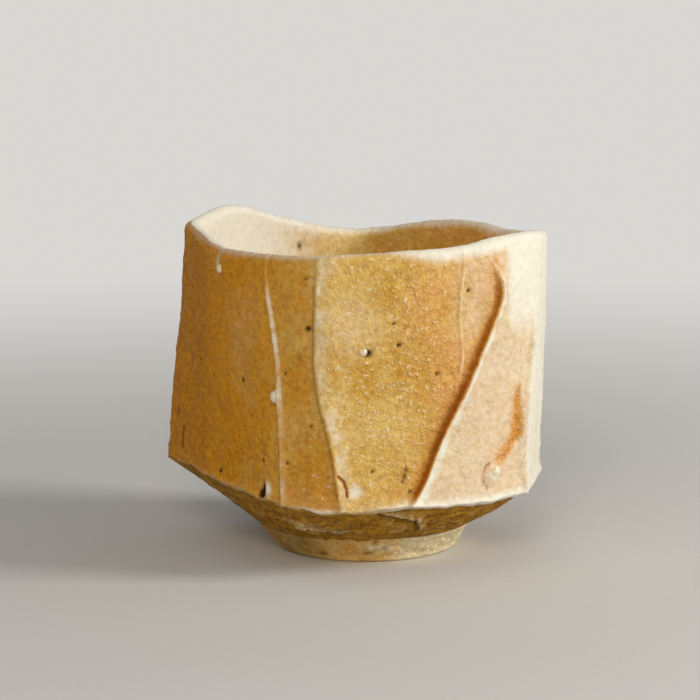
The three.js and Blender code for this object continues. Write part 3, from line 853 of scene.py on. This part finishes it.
# %% [markdown]
# ## The clay under the glaze
# Only the underside of the bowl shows bare clay. The rest of this piece stays hidden under the glaze, a little
# inside it, so that it is a whole bowl like the solid. The potter scraped the underside round the cup, so the
# relief is noise drawn out along the turn. It fades at the seat and at the waist, where the pieces meet.

# %% Clay bowl: throw and scrape
UNDER_GLAZE = -0.8  # mm, the hidden clay lies this far inside the solid's face
SCRAPE_RADIUS, SCRAPE_LENGTH, SCRAPE_WIDTH = 24, 7, 0.5  # mm
clay_rows = spread("seat", 10) + spread("underside", 40) + spread("wall", 6, 0.01, 1, UNDER_GLAZE)
for stretch, count in [("lip", 3), ("inside", 5), ("round", 3), ("floor", 2)]:
    clay_rows += spread(stretch, count, 0, 1, UNDER_GLAZE)
bm, row, turn = throw(len(clay_rows), COLUMNS)
skin = lay(clay_rows, row, turn)
place = on_circle(skin.azimuth, skin.radius, skin.height)
under = skin.kind == "underside"
bare = under | (skin.kind == "seat")
away = np.sin(np.pi * np.clip(skin.share, 0, 1)) * (1 - 0.6 * smooth(skin.share, 0.6, 0.95))
away = np.where(under, away, np.where(bare, 1, 0))
away = away * (1 - 0.65 * window(np.abs(turn_from(skin.azimuth, 0)), 40, 62, 112, 130))
coarse, rough = fbm(place, 4, 3), fbm(place, 1.2, 3)
drawn_out = np.radians(skin.azimuth) * SCRAPE_RADIUS / SCRAPE_LENGTH
scrape = fbm(np.stack([drawn_out, skin.height / SCRAPE_WIDTH, coarse * 0.3], -1), 1, 2)
relief = 0.42 * coarse + 0.32 * rough + 0.25 * scrape
print("clay rows:", len(clay_rows), "deepest scrape in mm:", relief.min().round(2))

# %% [markdown]
# Dry clay tears under the tool: tongues stand off the surface with a painted shadow beneath them, and crumbs
# stick to it.
# The tongues are cuts along lines, the crumbs the same seeded domes as on the glaze.

# %% Clay bowl: tongues, crumbs and paint
TONGUES = [([(6.4, 10.6), (13.9, 9.7), (21.5, 8.8)], 0.9), ([(21.5, 9.0), (25, 7.0)], 0.6),
           ([(-32, 8.2), (-20, 7.4), (-9, 6.6)], 0.5), ([(98, 8.0), (112, 7.4)], 0.5),
           ([(140, 8.5), (156, 8.1)], 0.6), ([(-150, 7.4), (-138, 8.0)], 0.5)]


def on_underside(draw):
    azimuth, t = draw.uniform(-180, 180), draw.uniform(0.05, 0.95)
    r, z, _, _ = profile("underside", azimuth, t)
    return on_circle(azimuth, r, z)


tongue = shadow = np.zeros(len(row))
for line, tall in TONGUES:
    step, beneath, above = cut(skin, line, drop=0.7 * tall, run=0.7, burr=tall)
    relief += np.where(under, step, 0)
    tongue, shadow = most(tongue, above), most(shadow, beneath)
crumbs = domes(place, under, strew(5, 900, on_underside, sizes=(0.5, 1.1), heights=(0.1, 0.38)))
relief += crumbs
lift = skin.coat + np.where(bare, relief * away, 0)
settle(bm, on_circle(skin.azimuth, skin.radius + lift * skin.out, skin.height + lift * skin.up))
pale = 0.75 * tongue + 0.3 * np.maximum(coarse, 0) + 0.7 * crumbs
# painted shadow beneath the tongues, and darker streaks where the scrapes run low
shadow = most(shadow, 0.3 * smooth(-scrape, 0.05, 0.45))
masks = {"clay_paint": paint(pale, 0 * pale, shadow)}
finish_piece("bare_clay_bowl", bm, masks, CLAY_MATERIAL, "clay_bowl")

# %% [markdown]
# ## The foot ring
# The ring leans in towards the table, and was pressed on by hand, so it wanders off a true circle. Its section
# runs up the outside, down the inside and back across the base, with its two lower edges rounded. The base
# stays flat, because the cup stands on it, and so does the top, which is luted to the bowl.

# %% Foot ring: section
FOOT_COLUMNS = 360


def slope(start, end, shares):
    return [(start[0] + (end[0] - start[0]) * t, start[1] + (end[1] - start[1]) * t) for t in shares]


def rounded(middle, way, angles):
    """A quarter round at the base: way is 1 on the outside of the ring and -1 on its inside."""
    return [(middle + way * FOOT_EDGE_ROUND * math.sin(a), FOOT_EDGE_ROUND * (1 - math.cos(a))) for a in angles]


inside_base, inside_seat = FOOT_BASE_RADIUS - FOOT_RING_WIDTH, FOOT_SEAT_RADIUS - FOOT_RING_WIDTH
outer_middle, inner_middle = FOOT_BASE_RADIUS - FOOT_EDGE_ROUND, inside_base + FOOT_EDGE_ROUND
ring = np.array(
    rounded(outer_middle, 1, np.linspace(0, math.pi / 2, 7))
    + slope((FOOT_BASE_RADIUS, FOOT_EDGE_ROUND), (FOOT_SEAT_RADIUS, FOOT_HEIGHT), np.linspace(0.06, 1, 16))
    + slope((inside_seat, FOOT_HEIGHT), (inside_base, FOOT_EDGE_ROUND), np.linspace(0, 0.95, 10))
    + rounded(inner_middle, -1, np.linspace(math.pi / 2, 0, 6))
    + slope((inner_middle, 0.0), (outer_middle, 0.0), np.linspace(0.15, 1, 6)))
bm, row, turn = throw(len(ring), FOOT_COLUMNS)
azimuth = turn * 360
loose = 1 - ring[row, 1] / FOOT_HEIGHT
wander = 0.6 * np.sin(np.radians(azimuth)) + 0.25 * np.cos(np.radians(3 * azimuth))
radius, height = ring[row, 0] + loose * wander, ring[row, 1].copy()
skin = SimpleNamespace(azimuth=azimuth, radius=radius, height=height)
place = on_circle(azimuth, radius, height)
print("ring rows:", len(ring), "points:", len(row))

# %% [markdown]
# The ring's side is worn: chips are broken out of it, lumps and crumbs of clay stick to it, and a lip is smeared
# up against the bowl at the right. Its left side is painted dark as painted shade, and its right side pale as
# painted light.

# %% Foot ring: wear and paint
CHIPS = [(6.9, 3.9, 0.5, 0.6), (12.5, 2.6, 0.8, 0.5), (-25, 1.2, 0.8, 0.4), (3.0, 1.6, 0.9, 0.3),
         (70, 1.2, 0.9, 0.5), (128, 3.0, 0.8, 0.7), (-150, 2.0, 1.0, 0.6), (-100, 3.2, 0.9, 0.5)]
LUMPS = [(3.2, 2.9, 0.9, 0.7), (8.6, 2.9, 0.9, 0.7), (13.4, 2.5, 0.8, 0.6)]
MIDDLE_OF_RING = FOOT_BASE_RADIUS - 2.3  # mm, parts the outside from the inside


def on_ring(draw):
    t = draw.uniform(0.1, 0.95)
    r = FOOT_BASE_RADIUS + (FOOT_SEAT_RADIUS - FOOT_BASE_RADIUS) * t
    return on_circle(draw.uniform(0, 360), r, FOOT_HEIGHT * t)


outside = ring[row, 0] > MIDDLE_OF_RING
side_wall = np.exp(-((height - 2.4) / 1.6) ** 4)
chips = np.where(outside, dabs(skin, [(1, *chip) for chip in CHIPS]), 0)
lumps = np.where(outside, sum(dab(skin, *lump) for lump in LUMPS), 0)
crumbs = domes(place, outside, strew(3, 340, on_ring, sizes=(0.4, 0.9), heights=(0.08, 0.3)))
lip = window(azimuth, 18, 30, 66, 80) * bell(height - 4.0, 0.5)
relief = side_wall * (0.5 * fbm(place, 3.2, 3) + 0.3 * fbm(place, 1.0, 3))
relief += (0.8 * lumps - 0.7 * chips + crumbs) * side_wall + np.where(outside, 0.45 * lip, 0)
settle(bm, on_circle(azimuth, radius + np.where(outside, relief, -relief), np.maximum(height, 0)))
# painted shade on the ring's left side and painted light on its right side
painted_shade_left, lit_side = window(azimuth, 270, 300, 320, 345), window(azimuth, 8, 34, 100, 130)
pale = 0.6 * lumps + 0.5 * lip + 0.3 * np.exp(-height / 0.6) + 0.9 * lit_side + 0.6 * crumbs
masks = {"clay_paint": paint(pale, 0 * pale, 0.5 * chips + 0.4 * painted_shade_left)}
finish_piece("worn_foot_ring", bm, masks, FOOT_MATERIAL, "foot_ring")

# %% [markdown]
# ## Feldspar grains
# Four larger grains burst through the glaze. Half-melted feldspar is milky white with a soft gloss. An
# icosphere is the plainest start for a pebble, because its faces are even; noise makes each one its own.

# %% Feldspar grains
PEBBLES = {"ridge": 1.15, "waist": 1.15, "front": 1.15, "left": 1.0}  # size over that of the solid grain
PROUD = 0.15  # mm


def feldspar():
    material, tree, shader, at = new_material("half_melted_feldspar", roughness=0.3)
    milky = fractal(tree, at, 0.6, 4.0)
    tone = two_tone(tree, milky, 0.35, "#D9C79E", 0.65, "#F7F0DE")
    dress(tree, shader, tone, milky, 0.1, strength=0.5)
    return material


FELDSPAR_MATERIAL = feldspar()
for name, scale in PEBBLES.items():
    low, high = (np.array(corner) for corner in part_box("feldspar_grain_" + name))
    middle, radius = Vector((low + high) / 2), 0.5 * float((high - low).mean())
    outward = (Vector((middle.x, middle.y, 0)) - Vector((*AXIS, 0)) * MM).normalized()
    bm = bmesh.new()
    bmesh.ops.create_icosphere(bm, subdivisions=4, radius=1)
    for vert in bm.verts:
        lump = scale + 0.1 * noise.fractal(vert.co * 1.7 + Vector(low) * 900, 1.0, 2.0, 2)
        vert.co = middle + outward * PROUD * MM + Vector(vert.co * lump) * radius
    finish_piece("pebble_" + name, bm, {}, FELDSPAR_MATERIAL, "feldspar_grain_" + name)

# %% [markdown]
# ## Floor
# The cup stands on plain pale paper. Round the cup the paper takes its light and shadow like any surface. Farther
# off it turns into an even tone, but for camera rays alone, so that the background is calm and no light is added.

# %% Paper floor
FLOOR_SIZE, NEAR, OFF = 4, 0.06, 0.36  # m; the even tone sets in between the last two


def paper():
    material, tree, shader, at = new_material("pale_studio_paper", roughness=0.9)
    tone = two_tone(tree, fractal(tree, at, 1.5, 3.0), 0.0, "#C9C7C3", 1.0, "#CFCDC9")
    tree.links.new(tone, shader.inputs["Base Color"])
    span = node(tree, "ShaderNodeVectorMath", {0: at}, operation="LENGTH").outputs["Value"]
    seen = node(tree, "ShaderNodeLightPath").outputs["Is Camera Ray"]
    apart = calc(tree, "MULTIPLY", remap(tree, span, NEAR, OFF, kind="SMOOTHSTEP"), seen)
    even = node(tree, "ShaderNodeEmission", {"Color": colour("#D9D7D3")})
    both = node(tree, "ShaderNodeMixShader", {0: apart, 1: shader.outputs["BSDF"], 2: even.outputs[0]})
    tree.links.new(both.outputs[0], tree.nodes["Material Output"].inputs["Surface"])
    return material


bm = bmesh.new()
bmesh.ops.create_grid(bm, x_segments=1, y_segments=1, size=FLOOR_SIZE)
floor_mesh = bpy.data.meshes.new("floor")
bm.to_mesh(floor_mesh)
bm.free()
floor_mesh.materials.append(paper())
floor = bpy.data.objects.new("floor", floor_mesh)
link(floor)
print("floor:", floor.dimensions[:2], "m of", floor_mesh.materials[0].name)

# %% [markdown]
# ## Light
# One soft box at the right, a little above the cup, rakes across the front and shows the knife's marks, as in the
# photograph. A second one far in front and higher rakes the left faces, and a dim even sky keeps the shaded
# side readable.

# %% Lamps and sky
LAMP_AIM = Vector((0, 0, 0.03))


def soft_box(name, place, size, power, tone):
    lamp = bpy.data.lights.new(name, "AREA")
    lamp.shape, lamp.size, lamp.energy, lamp.color = "SQUARE", size, power, colour(tone)[:3]
    holder = bpy.data.objects.new(name, lamp)
    holder.location = place
    holder.rotation_euler = (LAMP_AIM - Vector(place)).to_track_quat("-Z", "Y").to_euler()
    link(holder)


soft_box("key", (0.5, -0.1, 0.26), size=0.18, power=2.12, tone="#FEFAF4")
soft_box("fill", (-0.08, -0.72, 0.4), size=0.3, power=2.4, tone="#FFF3E0")
world = bpy.data.worlds.new("sky")
bpy.context.scene.world = world
world.use_nodes = True
sky = world.node_tree.nodes["Background"].inputs
sky["Color"].default_value, sky["Strength"].default_value = colour("#F4F6FA"), 0.36
bpy.context.scene.view_settings.view_transform = "Standard"
print("lamps:", [(lamp.name, round(lamp.energy, 2)) for lamp in bpy.data.lights])
